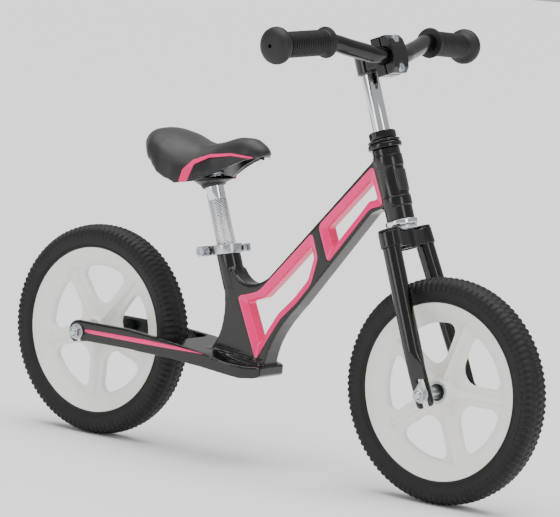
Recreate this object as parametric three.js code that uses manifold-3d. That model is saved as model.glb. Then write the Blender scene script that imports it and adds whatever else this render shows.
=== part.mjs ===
// Toddler's balance bike: a cast frame with two windows, a raked fork, two five-spoke wheels with
// foam tyres, a quill stem with a bent handlebar and a saddle on a quick-release seat post.
// Millimetres, +Z up, +X forward, +Y to the rider's left. The origin is on the ground, midway
// between the two axles and in the plane of the wheels.

import * as THREE from 'three';
import { mergeVertices } from 'three/addons/utils/BufferGeometryUtils.js';
import Module from 'manifold-3d';

const wasm = await Module();
wasm.setup();

// ---- driving dimensions -------------------------------------------------------------------------
const WHEELBASE = 577; // axle to axle
const GAP = 0.3; // clearance between pieces that touch

const TYRE_RADIUS = 145; // 12 inch foam tyre
const TYRE_WIDTH = 44;
const RIM_RADIUS = 113.5; // edge of the rim flange, where the tyre starts
const RIM_HALF_WIDTH = 16;
const HUB_HALF_WIDTH = 18.5;
const HUB_RADIUS = 18;
const SPOKES = 5;
const SPOKE_HALF_WIDTH = 11;
const WINDOW_OUTER_RADIUS = 90;
const FRONT_WHEEL_PHASE = 0; // degrees, angle of one spoke above straight ahead
const REAR_WHEEL_PHASE = 52;

const AXLE_RADIUS = 5;
const BEARING_RADIUS = 13;
const BEARING_WIDTH = 8;
const NUT_HEIGHT = 7;
const NUT_FLATS = 15;

const HEAD_ANGLE = 70; // degrees from the ground
const FORK_OFFSET = 10.4; // axle ahead of the steering axis
const HEAD_TUBE_BOTTOM = 353; // height of its lower end, on the axis
const HEAD_TUBE_LENGTH = 94;
const HEAD_TUBE_RADIUS = 18;
const HEAD_BORE_RADIUS = 15;
const STEERER_RADIUS = 12.7;
const STEERER_BORE_RADIUS = 11.5;
const CUP_RADIUS = 22;
const CROWN_DROP = 38; // crown's underside, below the head tube
const LEG_RADIUS = 12;
const LEG_WALL = 1.8;
const LEG_TOP_SPREAD = 35; // leg centre to bike centre, at the crown
const LEG_BOTTOM_SPREAD = 49; // the same, at the axle
const BLADE_THICKNESS = 6;
const BLADE_WIDTH = 27;

const SEAT_ANGLE = 70;
const SEAT_TUBE_X = 214; // ahead of the rear axle, at the underside of the clamp collar
const SEAT_TUBE_HEIGHT = 276;
const SEAT_TUBE_RADIUS = 15.9;
const SEAT_POST_RADIUS = 12.7;
const SEAT_POST_INSERT = 88; // post inside the tube as shown
const SEAT_BORE_DEPTH = 135;
const SEAT_POST_SHOWN = 92; // from the collar's underside to the saddle boot
const COLLAR_HEIGHT = 13;
const COLLAR_WALL = 2.4;
const COLLAR_TILT = 8; // degrees, ears up, as the collar settles on the tube

const BEAM_THICKNESS = 29;
const BEAM_BORDER = 4; // face left between the beam's edge and a window
const WINDOW_SLOPE_WIDTH = 10;
const WINDOW_SLOPE_DEPTH = 5;
const FOOT_FRONT_X = 299; // footboard's front edge, ahead of the rear axle
const FOOT_BOTTOM = 122;
const FOOT_FRONT_HALF_WIDTH = 26;
const STAY_OUTER = 51; // stay's outer face to bike centre
const STAY_THICKNESS = 9;
const TYRE_CLEARANCE = 13; // tyre to the footboard's rear edge

const BAR_RADIUS = 11.1;
const BAR_WALL = 1.6;
const STEM_REACH = 38; // bar centre ahead of the steering axis
const BAR_HEIGHT = 207.5; // bar centre above the head tube's lower end, along the axis
const POST_RADIUS = 11.1;
const POST_BOTTOM = 38; // quill's lower end, along the axis
const GRIP_START = 112; // grip's inner flange to bike centre
const GRIP_LENGTH = 106;
const GRIP_RADIUS = 16;
const KNOB_RADIUS = 23.5;

const SADDLE_LENGTH = 193;
const SADDLE_WIDTH = 132;
const SADDLE_REAR_X = 79; // ahead of the rear axle
const SADDLE_TOP = 436;

// ---- materials ----------------------------------------------------------------------------------
function finish(color, roughness, metalness) {
  return new THREE.MeshStandardMaterial({ color, roughness, metalness });
}
const blackPaint = () => finish(0x101112, 0.35, 0.1);
const blackPlastic = () => finish(0x17181a, 0.45, 0);
const blackFoam = () => finish(0x1a1a1b, 0.9, 0);
const whiteNylon = () => finish(0xf1f0ea, 0.45, 0);
const chrome = () => finish(0xcfd3d6, 0.12, 1);
const zincPlate = () => finish(0xb9bfc4, 0.35, 1);
const pinkVinyl = () => finish(0xe8186f, 0.5, 0);

// ---- solids -------------------------------------------------------------------------------------
const rad = THREE.MathUtils.degToRad;
const vec = (x, y, z) => new THREE.Vector3(x, y, z);

// A closed geometry as a solid that can be joined and cut, with its faces turned outwards.
function solid(geometry) {
  const bare = new THREE.BufferGeometry().setAttribute('position', geometry.getAttribute('position'));
  bare.setIndex(geometry.index);
  const merged = mergeVertices(bare, 1e-4);
  const triVerts = new Uint32Array(merged.index.array);
  const vertProperties = new Float32Array(merged.attributes.position.array);
  const make = () => new wasm.Manifold(new wasm.Mesh({ numProp: 3, vertProperties, triVerts }));
  const body = make();
  if (body.volume() > 0) return body;
  triVerts.reverse();
  return make();
}

function geometryOf(body) {
  const mesh = body.getMesh();
  const geometry = new THREE.BufferGeometry();
  geometry.setAttribute('position', new THREE.BufferAttribute(mesh.vertProperties, 3));
  geometry.setIndex(new THREE.BufferAttribute(mesh.triVerts, 1));
  const flat = geometry.toNonIndexed();
  flat.computeVertexNormals();
  return flat;
}

const join = (first, ...rest) => rest.reduce((sum, piece) => sum.add(piece), first);
const cut = (first, ...rest) => rest.reduce((left, piece) => left.subtract(piece), first);

const shapeOf = (pairs) => new THREE.Shape(pairs.map(([a, b]) => new THREE.Vector2(a, b)));

// Outline in the XZ plane extruded from y = from to y = to.
function slab(shape, from, to, curveSegments = 4) {
  const geometry = new THREE.ExtrudeGeometry(shape, { depth: to - from, bevelEnabled: false, curveSegments });
  return solid(geometry.rotateX(Math.PI / 2).translate(0, to, 0));
}

// Outline in the XY plane extruded from z = from to z = to.
function plate(shape, from, to) {
  const geometry = new THREE.ExtrudeGeometry(shape, { depth: to - from, bevelEnabled: false });
  return solid(geometry.translate(0, 0, from));
}

function block(x0, x1, y0, y1, z0, z1) {
  const geometry = new THREE.BoxGeometry(x1 - x0, y1 - y0, z1 - z0);
  return solid(geometry.translate((x0 + x1) / 2, (y0 + y1) / 2, (z0 + z1) / 2));
}

// Cylinder about the local Z axis.
function post(radius, from, to, sides = 16) {
  const geometry = new THREE.CylinderGeometry(radius, radius, to - from, sides);
  return solid(geometry.rotateX(Math.PI / 2).translate(0, 0, (from + to) / 2));
}

// Cylinder about the Y axis through (x, z).
function pin(radius, from, to, x = 0, z = 0, sides = 16) {
  const geometry = new THREE.CylinderGeometry(radius, radius, to - from, sides);
  return solid(geometry.translate(x, (from + to) / 2, z));
}

// Closed profile of [radius, height] turned about the Y axis, with heights along +Y.
function turnedY(profile, sides = 20) {
  const points = profile.map(([r, h]) => new THREE.Vector2(r, h));
  if (points[0].x > 0) points.push(points[0].clone());
  return solid(new THREE.LatheGeometry(points, sides));
}

// The same, turned about the local Z axis.
const turned = (profile, sides) => turnedY(profile, sides).rotate([90, 0, 0]);

const ring = (outer, inner, from, to) => [[inner, from], [outer, from], [outer, to], [inner, to]];
const tube = (outer, inner, from, to, sides = 16) => turned(ring(outer, inner, from, to), sides);
const tubeY = (outer, inner, from, to, sides = 16) => turnedY(ring(outer, inner, from, to), sides);

// Skin through rings of points, closed at both ends.
function loft(rings) {
  const count = rings[0].length;
  const positions = rings.flat().flatMap((p) => [p.x, p.y, p.z]);
  const index = [];
  for (let r = 0; r < rings.length - 1; r += 1) {
    for (let i = 0; i < count; i += 1) {
      const a = r * count + i;
      const b = r * count + ((i + 1) % count);
      index.push(a, b, a + count, b, b + count, a + count);
    }
  }
  const capAt = (ring, reversed) => {
    const middle = ring.reduce((sum, p) => sum.add(p), vec(0, 0, 0)).divideScalar(count);
    const centre = positions.length / 3;
    positions.push(middle.x, middle.y, middle.z);
    const start = reversed ? (rings.length - 1) * count : 0;
    for (let i = 0; i < count; i += 1) {
      const a = start + i;
      const b = start + ((i + 1) % count);
      if (reversed) index.push(a, b, centre);
      else index.push(b, a, centre);
    }
  };
  capAt(rings[0], false);
  capAt(rings[rings.length - 1], true);
  const geometry = new THREE.BufferGeometry();
  geometry.setAttribute('position', new THREE.Float32BufferAttribute(positions, 3));
  geometry.setIndex(index);
  return solid(geometry);
}

const placed = (body, matrix) => body.transform(matrix.elements);

// ---- reference frames ---------------------------------------------------------------------------
const REAR_X = -WHEELBASE / 2;
const FRONT_X = WHEELBASE / 2;
const AXLE_Z = TYRE_RADIUS;

// Steering frame: z up the steering axis from the head tube's lower end, x forward.
const headTilt = rad(90 - HEAD_ANGLE);
const axisX = (z) => FRONT_X - FORK_OFFSET / Math.cos(headTilt) - (z - AXLE_Z) * Math.tan(headTilt);
const headOrigin = vec(axisX(HEAD_TUBE_BOTTOM), 0, HEAD_TUBE_BOTTOM);
const headMatrix = new THREE.Matrix4().makeRotationY(-headTilt).setPosition(headOrigin);
const inHead = (x, z) => vec(x, 0, z).applyMatrix4(headMatrix);

// Seat frame: z up the seat tube from the underside of the clamp collar, x forward.
const seatTilt = rad(90 - SEAT_ANGLE);
const seatOrigin = vec(REAR_X + SEAT_TUBE_X, 0, SEAT_TUBE_HEIGHT);
const seatMatrix = new THREE.Matrix4().makeRotationY(-seatTilt).setPosition(seatOrigin);
const inSeat = (x, z) => vec(x, 0, z).applyMatrix4(seatMatrix);

// Footboard frame: from the front lower edge of the footboard.
const inFoot = (x, z) => vec(REAR_X + FOOT_FRONT_X + x, 0, FOOT_BOTTOM + z);

const flat = (v) => new THREE.Vector2(v.x, v.z);

// ---- the tree of groups -------------------------------------------------------------------------
const bike = new THREE.Group();
const headGroup = new THREE.Group();
headGroup.position.copy(headOrigin);
headGroup.rotation.y = -headTilt;
const seatGroup = new THREE.Group();
seatGroup.position.copy(seatOrigin);
seatGroup.rotation.y = -seatTilt;
const clampGroup = new THREE.Group();
const collarLean = rad(COLLAR_TILT);
const collarMiddle = COLLAR_HEIGHT / 2;
clampGroup.rotation.y = collarLean;
clampGroup.position.set(-collarMiddle * Math.sin(collarLean), 0, collarMiddle * (1 - Math.cos(collarLean)));
seatGroup.add(clampGroup);
bike.add(headGroup, seatGroup);

function add(group, name, body, material) {
  const mesh = new THREE.Mesh(geometryOf(body), material);
  mesh.name = name;
  group.add(mesh);
  return mesh;
}

const sides = [[-1, 'right'], [1, 'left']];
const mirrored = (body, side) => (side > 0 ? body.mirror([0, 1, 0]) : body);

// ---- frame --------------------------------------------------------------------------------------

// Points of a quadratic curve, without its first point.
function bend(from, control, to, steps) {
  return new THREE.QuadraticBezierCurve(from, control, to).getPoints(steps).slice(1);
}

// Outline moved inwards by a distance, corner by corner. The outline runs anticlockwise.
function inset(outline, distance) {
  return outline.map((point, i) => {
    const before = outline[(i + outline.length - 1) % outline.length];
    const after = outline[(i + 1) % outline.length];
    const a = point.clone().sub(before).normalize();
    const b = after.clone().sub(point).normalize();
    const normal = new THREE.Vector2(-a.y - b.y, a.x + b.x);
    return point.clone().addScaledVector(normal, distance / (1 + a.dot(b)));
  });
}

// Straight edges of the beam, from the seat end to the head tube.
const lowEdge = [flat(inFoot(46, 102)), flat(inHead(-36, 17.5))];
const topEdge = [flat(inSeat(66.7, -47.7)), flat(inHead(-16, 81))];

function insideEdge([from, to], u, sign) {
  const along = to.clone().sub(from).normalize();
  const inward = new THREE.Vector2(-along.y, along.x).multiplyScalar(sign * BEAM_BORDER);
  return from.clone().lerp(to, u).add(inward);
}
const low = (u) => insideEdge(lowEdge, u, 1);
const top = (u) => insideEdge(topEdge, u, -1);

function beam() {
  const outline = [
    flat(inHead(0, 82)),
    topEdge[1],
    topEdge[0],
    ...bend(topEdge[0], flat(inSeat(22, -60)), flat(inSeat(SEAT_TUBE_RADIUS - 2, -22)), 7),
    flat(inSeat(0, -20)),
    flat(inSeat(-12, -58)),
    ...bend(flat(inSeat(-12, -58)), flat(inFoot(-72, 50)), flat(inFoot(-97, 22)), 6),
    flat(inFoot(-97, 10)),
    flat(inFoot(-2, 10)),
    flat(inFoot(-2, 20)),
    ...bend(flat(inFoot(-2, 20)), flat(inFoot(4, 58)), lowEdge[0], 6),
    lowEdge[1],
    flat(inHead(-17, 20)),
    flat(inHead(0, 20)),
  ];
  return slab(new THREE.Shape(outline), -BEAM_THICKNESS / 2, BEAM_THICKNESS / 2);
}

const upperWindow = () => [
  low(0.45), low(0.95), flat(inHead(-34, 24)), flat(inHead(-12.5, 23)), flat(inHead(-15, 76)), top(0.48),
];

const lowerWindow = () => [
  flat(inFoot(-16, 18)),
  flat(inFoot(3, 56)),
  flat(inFoot(19, 81)),
  low(0),
  low(0.21),
  low(0.38).lerp(top(0.38), 0.33),
  top(0.42),
  top(0.08),
  flat(inSeat(48, -61)),
  flat(inSeat(30, -61)),
  flat(inSeat(11.5, -59)),
];

// A hole through the beam whose edges slope outwards towards both faces.
function windowCutter(outline) {
  const hole = inset(outline, WINDOW_SLOPE_WIDTH);
  const at = (points, y) => points.map((p) => vec(p.x, y, p.y));
  const face = BEAM_THICKNESS / 2;
  const floor = face - WINDOW_SLOPE_DEPTH;
  const proud = face + 2;
  const through = slab(new THREE.Shape(hole), -proud, proud);
  const slope = loft([at(outline, -proud), at(outline, -face), at(hole, -floor)]);
  return join(through, slope, slope.mirror([0, 1, 0]));
}

// Side view of the footboard with its two stays.
function lowerSide() {
  const onAxle = (x, z) => new THREE.Vector2(REAR_X + x, AXLE_Z + z);
  const hood = Array.from({ length: 9 }, (_, i) => {
    const angle = rad(90 + 20 * i);
    return onAxle(16 * Math.cos(angle), 16 * Math.sin(angle));
  });
  const outline = [
    flat(inFoot(0, 15)),
    flat(inFoot(-20, 15)),
    flat(inFoot(-45, 18)),
    flat(inFoot(-77, 25)),
    onAxle(TYRE_RADIUS + TYRE_CLEARANCE, 9.7),
    onAxle(88, 15.5),
    ...hood,
    onAxle(16, -11.5),
    onAxle(90, -11.5),
    onAxle(TYRE_RADIUS + 26, -14.5),
    flat(inFoot(-80, 5.5)),
    flat(inFoot(-50, 2)),
    flat(inFoot(-24, -2)),
    flat(inFoot(-6, -1)),
    flat(inFoot(0, 3)),
  ];
  return slab(new THREE.Shape(outline), -STAY_OUTER - 2, STAY_OUTER + 2);
}

// Plan view of the same casting: two stays that join in the footboard.
function lowerPlan() {
  const p = (x, y) => new THREE.Vector2(REAR_X + x, y);
  const inner = STAY_OUTER - STAY_THICKNESS;
  const rearEdge = TYRE_RADIUS + TYRE_CLEARANCE;
  const front = FOOT_FRONT_X;
  const half = [
    p(rearEdge, inner - 14),
    ...bend(p(rearEdge, inner - 14), p(rearEdge, inner), p(rearEdge - 14, inner), 5),
    p(-20, inner),
    p(-20, STAY_OUTER),
    p(front - 84, STAY_OUTER),
    ...bend(p(front - 84, STAY_OUTER), p(front - 24, STAY_OUTER), p(front - 3, FOOT_FRONT_HALF_WIDTH + 3), 6),
    p(front + 2, FOOT_FRONT_HALF_WIDTH - 4),
  ];
  const other = half.map((q) => new THREE.Vector2(q.x, -q.y)).reverse();
  return plate(new THREE.Shape([...half, ...other]), FOOT_BOTTOM - 20, AXLE_Z + 40);
}

function frameCasting() {
  const seatTube = join(
    post(SEAT_TUBE_RADIUS, -50, COLLAR_HEIGHT - 3, 32),
    turned([[0, -78], [BEAM_THICKNESS / 2 - 0.5, -78], [SEAT_TUBE_RADIUS, -50], [0, -50]]),
  );
  const headTube = join(
    post(HEAD_TUBE_RADIUS, 0, HEAD_TUBE_LENGTH, 36),
    post(HEAD_TUBE_RADIUS + 1.2, 18, 30, 36),
    post(HEAD_TUBE_RADIUS + 1.2, 70, 84, 36),
  );
  const pedestal = slab(
    new THREE.Shape([inFoot(-99, 10), inFoot(-5, 10), inFoot(-5, 20), inFoot(-99, 28)].map(flat)),
    -BEAM_THICKNESS / 2 - 6, BEAM_THICKNESS / 2 + 6,
  );
  const body = join(
    lowerSide().intersect(lowerPlan()),
    pedestal,
    beam(),
    placed(seatTube, seatMatrix),
    placed(headTube, headMatrix),
  );
  const seatBore = join(
    post(SEAT_POST_RADIUS + 0.2, -SEAT_BORE_DEPTH, 20, 32),
    block(-20, -5, -1.25, 1.25, -20, 20),
  );
  const half = AXLE_RADIUS + GAP;
  const slot = (side) => mirrored(
    join(
      pin(half, -STAY_OUTER - 2, -20, REAR_X, AXLE_Z),
      block(REAR_X - half, REAR_X + half, -STAY_OUTER - 2, -20, AXLE_Z - 20, AXLE_Z),
    ),
    side,
  );
  return cut(
    body,
    placed(seatBore, seatMatrix),
    placed(post(HEAD_BORE_RADIUS, -5, HEAD_TUBE_LENGTH + 5, 32), headMatrix),
    windowCutter(upperWindow()),
    windowCutter(lowerWindow()),
    slot(-1),
    slot(1),
  );
}

// Thin curved plate on the front of the head tube.
function headBadge() {
  const inner = HEAD_TUBE_RADIUS + GAP;
  return tube(inner + 1, inner, 36, 64, 36).intersect(block(5, 40, -11, 11, 30, 70));
}

// ---- wheels -------------------------------------------------------------------------------------
const RIM_SIDES = 36;

// One opening between two spokes, pointing along +X.
function wheelWindow() {
  const half = Math.PI / SPOKES;
  const innerRadius = 23;
  const innerCentre = (SPOKE_HALF_WIDTH + innerRadius) / Math.sin(half);
  const cornerRadius = 10;
  const cornerReach = WINDOW_OUTER_RADIUS - cornerRadius;
  const cornerTurn = half - Math.asin((SPOKE_HALF_WIDTH + cornerRadius) / cornerReach);
  const shape = new THREE.Shape();
  shape.absarc(innerCentre, 0, innerRadius, Math.PI / 2 + half, -Math.PI / 2 - half, false);
  const corner = (sign) => {
    const x = cornerReach * Math.cos(cornerTurn);
    const y = sign * cornerReach * Math.sin(cornerTurn);
    const from = sign < 0 ? -Math.PI / 2 - half : cornerTurn;
    const to = sign < 0 ? -cornerTurn : Math.PI / 2 + half;
    shape.absarc(x, y, cornerRadius, from, to, false);
  };
  corner(-1);
  shape.absarc(0, 0, WINDOW_OUTER_RADIUS, -cornerTurn, cornerTurn, false);
  corner(1);
  return shape;
}

// Rib on a spoke: a wedge that falls from the hub to the rim on both faces.
function spokeRib() {
  const start = HUB_RADIUS - 4;
  const end = 104;
  const section = (x, halfWidth, height) => [
    vec(x, -height, -1.5), vec(x, -height, 1.5), vec(x, 0, halfWidth),
    vec(x, height, 1.5), vec(x, height, -1.5), vec(x, 0, -halfWidth),
  ];
  return loft([section(start, 11, HUB_HALF_WIDTH - 2.5), section(45, 8, 13), section(end, 5, 8)]);
}

function wheelCasting(phase) {
  const grooveRadius = RIM_RADIUS - 7;
  const rim = turnedY([
    [WINDOW_OUTER_RADIUS + 2, -5], [98, -7], [RIM_RADIUS, -RIM_HALF_WIDTH],
    [RIM_RADIUS, -RIM_HALF_WIDTH + 3], [grooveRadius, -RIM_HALF_WIDTH + 6],
    [grooveRadius, RIM_HALF_WIDTH - 6], [RIM_RADIUS, RIM_HALF_WIDTH - 3],
    [RIM_RADIUS, RIM_HALF_WIDTH], [98, 7], [WINDOW_OUTER_RADIUS + 2, 5],
  ], RIM_SIDES);
  const web = pin(WINDOW_OUTER_RADIUS + 3, -5, 5, 0, 0, RIM_SIDES);
  const turns = Array.from({ length: SPOKES }, (_, i) => (360 / SPOKES) * i);
  const around = (body, from) => join(...turns.map((angle) => body.rotate([0, -angle - from, 0])));
  const windows = around(slab(wheelWindow(), -30, 30, 3), phase + 180 / SPOKES);
  const hub = turnedY([
    [0, -HUB_HALF_WIDTH], [HUB_RADIUS - 2, -HUB_HALF_WIDTH], [HUB_RADIUS + 2, 0],
    [HUB_RADIUS - 2, HUB_HALF_WIDTH], [0, HUB_HALF_WIDTH],
  ], 20);
  const seat = BEARING_WIDTH + GAP;
  const bore = join(
    pin(BEARING_RADIUS - 3, -30, 30),
    pin(BEARING_RADIUS + 0.2, -30, -HUB_HALF_WIDTH + seat),
    pin(BEARING_RADIUS + 0.2, HUB_HALF_WIDTH - seat, 30),
  );
  return cut(join(cut(join(rim, web), windows), around(spokeRib(), phase), hub), bore);
}

function tyre() {
  const bead = RIM_RADIUS + GAP;
  const groove = RIM_RADIUS - 7 + GAP;
  const half = TYRE_WIDTH / 2;
  const side = [
    [groove, RIM_HALF_WIDTH - 6.7], [bead, RIM_HALF_WIDTH - 3.3], [bead, half - 4],
    [TYRE_RADIUS - 18, half], [TYRE_RADIUS - 7, half - 2], [TYRE_RADIUS, half - 12],
  ];
  const other = side.map(([r, y]) => [r, -y]).reverse();
  return turnedY([...side, ...other], RIM_SIDES);
}

function hexagon(flats, from, to, bore) {
  const radius = flats / Math.sqrt(3);
  const geometry = new THREE.CylinderGeometry(radius, radius, to - from, 6);
  const body = solid(geometry.translate(0, (from + to) / 2, 0));
  return bore ? cut(body, pin(bore, from - 1, to + 1)) : body;
}

// Wheel, tyre and two bearings in one group at an axle.
function addWheel(end, x, phase) {
  const group = new THREE.Group();
  group.position.set(x, 0, AXLE_Z);
  bike.add(group);
  add(group, `${end}_wheel`, wheelCasting(phase), whiteNylon());
  add(group, `${end}_tyre`, tyre(), blackFoam());
  for (const [sign, side] of sides) {
    const race = mirrored(
      tubeY(BEARING_RADIUS - 0.1, AXLE_RADIUS + 0.2, -HUB_HALF_WIDTH, -HUB_HALF_WIDTH + BEARING_WIDTH),
      sign,
    );
    add(group, `${end}_bearing_${side}`, race, zincPlate());
  }
}

// Axle with spacers, washers and nuts, for two dropouts with the given inner and outer faces.
function addAxle(end, x, inner, outer, tabbed) {
  const group = new THREE.Group();
  group.position.set(x, 0, AXLE_Z);
  bike.add(group);
  const nutStart = outer + GAP + 1.5 + GAP;
  const tip = nutStart + NUT_HEIGHT + 2.5;
  add(group, `${end}_axle`, pin(AXLE_RADIUS - 0.1, -tip, tip), zincPlate());
  for (const [sign, side] of sides) {
    const round = tubeY(11, AXLE_RADIUS + 0.2, outer + GAP, outer + GAP + 1.5);
    const tab = slab(shapeOf([[-9, 5.3], [9, 5.3], [2, 20], [-2, 20]]), outer + GAP, outer + GAP + 1.5);
    const nut = hexagon(NUT_FLATS, nutStart, nutStart + NUT_HEIGHT, AXLE_RADIUS + 0.2);
    const spacer = join(
      tubeY(8, AXLE_RADIUS + 0.2, HUB_HALF_WIDTH + GAP, inner - GAP),
      hexagon(NUT_FLATS, inner - GAP - 5, inner - GAP, AXLE_RADIUS + 0.2),
    );
    const onSide = (body) => mirrored(body, -sign);
    add(group, `${end}_washer_${side}`, onSide(tabbed ? join(round, tab) : round), zincPlate());
    add(group, `${end}_nut_${side}`, onSide(nut), zincPlate());
    add(group, `${end}_spacer_${side}`, onSide(spacer), zincPlate());
  }
}

// ---- fork ---------------------------------------------------------------------------------------
const CROWN_TOP = -13.5; // crown's upper face, along the steering axis
const SOCKET_RADIUS = LEG_RADIUS + 2;
const SOCKET_DEPTH = 21;
const legTop = vec(2, LEG_TOP_SPREAD, CROWN_TOP).applyMatrix4(headMatrix);
const axleEnd = vec(FRONT_X, LEG_BOTTOM_SPREAD, AXLE_Z);
const BLADE_START = 32; // the leg is flat from here above the axle
const BLADE_END = 17; // and runs this far below it

// Frame of one leg: local z runs down the leg, local y stays across the bike.
const legDown = axleEnd.clone().sub(legTop).setY(0).normalize();
const legForward = vec(-legDown.z, 0, legDown.x);
const legLength = axleEnd.clone().sub(legTop).dot(legDown);
const flareEnd = legLength - BLADE_START;

function legPoint(along, forward, across) {
  const spread = THREE.MathUtils.lerp(LEG_TOP_SPREAD, LEG_BOTTOM_SPREAD, Math.min(along / flareEnd, 1));
  const start = vec(legTop.x, 0, legTop.z);
  return start.addScaledVector(legDown, along).addScaledVector(legForward, forward).setY(spread + across);
}

function legRing(along, halfLong, halfThick, count = 20) {
  const power = 2 * Math.min(halfThick / halfLong, 1);
  const squared = (c) => Math.sign(c) * Math.abs(c) ** (0.5 + power / 4);
  return Array.from({ length: count }, (_, i) => {
    const angle = (2 * Math.PI * i) / count;
    return legPoint(along, halfLong * squared(Math.cos(angle)), halfThick * squared(Math.sin(angle)));
  });
}

function forkLeg() {
  const wide = BLADE_WIDTH / 2;
  const thin = BLADE_THICKNESS / 2;
  const body = loft([
    legRing(2, LEG_RADIUS, LEG_RADIUS),
    legRing(flareEnd - 22, LEG_RADIUS, LEG_RADIUS),
    legRing(flareEnd - 12, LEG_RADIUS + 0.4, 9.5),
    legRing(flareEnd, wide, thin),
    legRing(legLength + BLADE_END - 4, wide, thin),
    legRing(legLength + BLADE_END, wide - 3.5, thin),
  ]);
  const inside = LEG_RADIUS - LEG_WALL;
  const hollow = loft([legRing(-5, inside, inside), legRing(flareEnd - 28, inside, inside)]);
  const half = AXLE_RADIUS + GAP;
  const axle = pin(half, 0, 90, FRONT_X, AXLE_Z);
  const corner = (along, forward) => flat(legPoint(along, forward, 0));
  const window = (from, to, halfWidth) => slab(new THREE.Shape([
    corner(from, -halfWidth), corner(to, -halfWidth), corner(to, halfWidth), corner(from, halfWidth),
  ]), 0, 90);
  return cut(
    body, hollow, axle,
    window(legLength, legLength + 40, half),
    window(legLength - 20, legLength - 15, 3),
  );
}

// Cylinder about the leg's centre line, in the world.
function alongLeg(radius, from, to, count = 20) {
  return loft([legRing(from, radius, radius, count), legRing(to, radius, radius, count)]);
}

function forkCrown() {
  const boss = placed(post(15, -CROWN_DROP, CROWN_TOP, 28), headMatrix);
  const spread = LEG_TOP_SPREAD;
  const bridge = placed(block(-9, 13, -spread, spread, -CROWN_DROP + 3, CROWN_TOP - 2), headMatrix);
  const socket = alongLeg(SOCKET_RADIUS, 0, SOCKET_DEPTH);
  const bore = alongLeg(LEG_RADIUS + 0.25, -5, SOCKET_DEPTH + 5);
  return cut(
    join(boss, bridge, socket, socket.mirror([0, 1, 0])),
    bore, bore.mirror([0, 1, 0]),
    placed(post(STEERER_RADIUS + GAP, -60, 0, 28), headMatrix),
  );
}

function legCap() {
  return join(alongLeg(SOCKET_RADIUS - 0.4, -3, -GAP), alongLeg(LEG_RADIUS - 2, -1, 1.6));
}

function addFork() {
  add(bike, 'fork_crown', forkCrown(), blackPaint());
  for (const [sign, side] of sides) {
    add(bike, `fork_leg_${side}`, mirrored(forkLeg(), -sign), blackPaint());
    add(bike, `fork_cap_${side}`, mirrored(legCap(), -sign), blackPlastic());
  }
  const steerer = tube(STEERER_RADIUS, STEERER_BORE_RADIUS, -CROWN_DROP, STEERER_TOP, 28);
  add(headGroup, 'steerer_tube', steerer, zincPlate());
}

// ---- headset ------------------------------------------------------------------------------------
const HEADSET_STACK = 23; // from the head tube to the top of the locknut
const STEERER_TOP = HEAD_TUBE_LENGTH + HEADSET_STACK - 1;

function addHeadset() {
  const skirt = HEAD_BORE_RADIUS - GAP;
  const clear = STEERER_RADIUS + GAP;
  const top = HEAD_TUBE_LENGTH;
  const cup = (flange) => [
    [skirt - 1.2, -8], [skirt, -8], [skirt, GAP], [flange, GAP], [flange, 6], [flange - 1.5, 7.5],
    [18, 7.5], [17.4, 3.5], [skirt - 1.2, 3.5],
  ];
  const upward = (profile) => turned(profile.map(([r, h]) => [r, top + h]));
  const downward = (profile) => turned(profile.map(([r, h]) => [r, -h]).reverse());
  const balls = (h) => tube(17, 14.2, h - 1.2, h + 1.2, 24);
  add(headGroup, 'headset_upper_cup', upward(cup(CUP_RADIUS)), blackPaint());
  add(headGroup, 'headset_lower_cup', downward(cup(CUP_RADIUS - 1)), chrome());
  add(headGroup, 'headset_upper_bearing', balls(top + 5.2), zincPlate());
  add(headGroup, 'headset_lower_bearing', balls(-5.2), zincPlate());
  add(headGroup, 'headset_upper_race', upward([[clear, 6.9], [CUP_RADIUS - 5, 6.9], [CUP_RADIUS - 5, 8.3],
    [CUP_RADIUS - 1, 8.3], [CUP_RADIUS - 1, 11], [16, 13], [clear, 13]]), blackPaint());
  add(headGroup, 'headset_crown_race', downward([[clear, 6.9], [CUP_RADIUS - 5, 6.9], [CUP_RADIUS - 5, 8.3],
    [CUP_RADIUS - 3, 8.3], [CUP_RADIUS - 4, 13], [clear, 13]]), zincPlate());
  const nut = post(18.5, top + 13 + GAP, top + HEADSET_STACK, 6);
  const crown = turned([
    [0, top], [17.6, top], [17.6, top + 21.5], [15.5, top + HEADSET_STACK], [0, top + HEADSET_STACK],
  ]);
  add(headGroup, 'headset_locknut', cut(nut.intersect(crown), post(clear, top, top + 40)), blackPaint());
}

// ---- stem and handlebar -------------------------------------------------------------------------
const COLLAR_BOTTOM = 193;
const COLLAR_TOP = 221;
const POST_TOP = COLLAR_TOP - 6;
const BOLT_SPREAD = 19; // clamp bolts above and below the bar

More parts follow.
